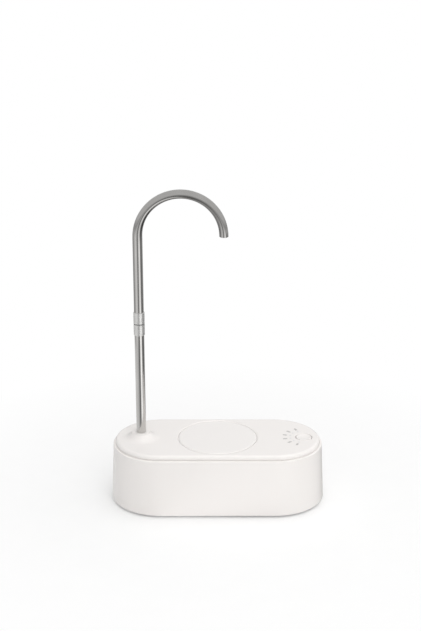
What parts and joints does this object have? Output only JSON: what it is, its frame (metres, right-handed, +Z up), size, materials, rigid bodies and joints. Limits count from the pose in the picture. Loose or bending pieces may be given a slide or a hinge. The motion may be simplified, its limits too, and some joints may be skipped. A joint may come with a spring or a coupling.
{
  "type": "electric water jug pump",
  "caption": "Desktop water jug pump with a low rounded-end base, a round cup rest, a dished push button and a steel gooseneck spout that swings and lifts out.",
  "frame": {"origin": "middle of the base on the plane that the feet stand on", "axes": "+X towards the button end, +Y towards the inlet port and charge socket, +Z up along the spout"},
  "size_m": [0.2118, 0.1, 0.3165],
  "materials": {
    "white_gloss": "gloss",
    "cup_rest_white": "gloss",
    "bottom_grey": "satin",
    "inner_plastic": "satin",
    "dark_plastic": "satin",
    "ivory_plastic": "satin",
    "light_window": "gloss",
    "led_body": "satin",
    "board_green": "satin",
    "steel_tube": "polished",
    "ferrule_metal": "satin",
    "screw_steel": "satin",
    "motor_steel": "satin",
    "tab_nickel": "satin",
    "cell_wrap": "satin",
    "rubber_dark": "matte",
    "foot_rubber": "matte",
    "valve_rubber": "matte",
    "hose_silicone": "satin",
    "wire_jacket": "satin"
  },
  "bodies": {
    "base": {"main_shell": "white_gloss", "top_cover": "white_gloss", "bottom_plate": "bottom_grey", "foot_front_left": "foot_rubber", "foot_front_right": "foot_rubber", "foot_rear_left": "foot_rubber", "foot_rear_right": "foot_rubber", "cover_screws": "screw_steel", "bottom_screws": "screw_steel", "cup_rest": "cup_rest_white", "light_guide": "light_window", "control_board": "board_green", "board_screws": "screw_steel", "indicator_leds": "led_body", "switch_body": "dark_plastic", "charge_board": "board_green", "charge_screws": "screw_steel", "usb_socket": "screw_steel", "inlet_port": "white_gloss", "port_gasket": "rubber_dark", "port_screws": "screw_steel", "spout_socket": "inner_plastic", "socket_screws": "screw_steel", "battery_cell_lower": "cell_wrap", "battery_cell_upper": "cell_wrap", "battery_tabs": "tab_nickel", "battery_trough": "dark_plastic", "battery_strap": "dark_plastic", "motor_can": "motor_steel", "motor_end_cap": "dark_plastic", "motor_screws": "screw_steel", "motor_damper": "rubber_dark", "motor_cradle": "inner_plastic", "motor_clamp": "inner_plastic", "clamp_screws": "screw_steel", "pump_bracket": "dark_plastic", "pump_diaphragm": "rubber_dark", "valve_plate": "inner_plastic", "inlet_valves": "valve_rubber", "outlet_valve": "valve_rubber", "pump_cap": "inner_plastic", "pump_screws": "screw_steel", "outlet_hose": "hose_silicone", "inlet_hose": "hose_silicone", "motor_leads": "wire_jacket", "battery_leads": "wire_jacket", "board_leads": "wire_jacket"},
    "button": {"button_cap": "white_gloss", "switch_plunger": "dark_plastic"},
    "rotor": {"motor_shaft": "screw_steel", "eccentric": "ivory_plastic"},
    "wobbler": {"wobble_plate": "ivory_plastic"},
    "swivel": {"swivel_bush": "white_gloss", "swivel_o_rings": "rubber_dark"},
    "riser": {"riser_tube": "steel_tube", "lower_ferrule": "ferrule_metal", "coupling_spigot": "dark_plastic", "coupling_seal": "rubber_dark"},
    "gooseneck": {"gooseneck_tube": "steel_tube", "upper_ferrule": "ferrule_metal"}
  },
  "joints": [
    {"name": "spout_swing", "type": "hinge", "parent": "base", "child": "swivel", "pos_m": [-0.0757, 0, 0.064], "axis": [0, 0, 1], "continuous": true},
    {"name": "spout_lift", "type": "slide", "parent": "swivel", "child": "riser", "axis": [0, 0, 1], "range_m": [0, 0.029]},
    {"name": "gooseneck_pull", "type": "slide", "parent": "riser", "child": "gooseneck", "axis": [0, 0, 1], "range_m": [0, 0.016]},
    {"name": "button_press", "type": "slide", "parent": "base", "child": "button", "axis": [0, 0, -1], "range_m": [0, 0.0008], "stiffness_N_per_m": 2500},
    {"name": "motor_spin", "type": "hinge", "parent": "base", "child": "rotor", "pos_m": [0.021, 0.0038, 0.026], "axis": [-1, 0, 0], "continuous": true, "deforming": ["pump_diaphragm"]},
    {"name": "plate_wobble", "type": "hinge", "parent": "rotor", "child": "wobbler", "pos_m": [0.0035, 0.0038, 0.026], "axis": [-0.9925, 0, 0.1219], "continuous": true}
  ],
  "couplings": [
    {"joint": "plate_wobble", "follows": "motor_spin", "ratio": -1}
  ]
}
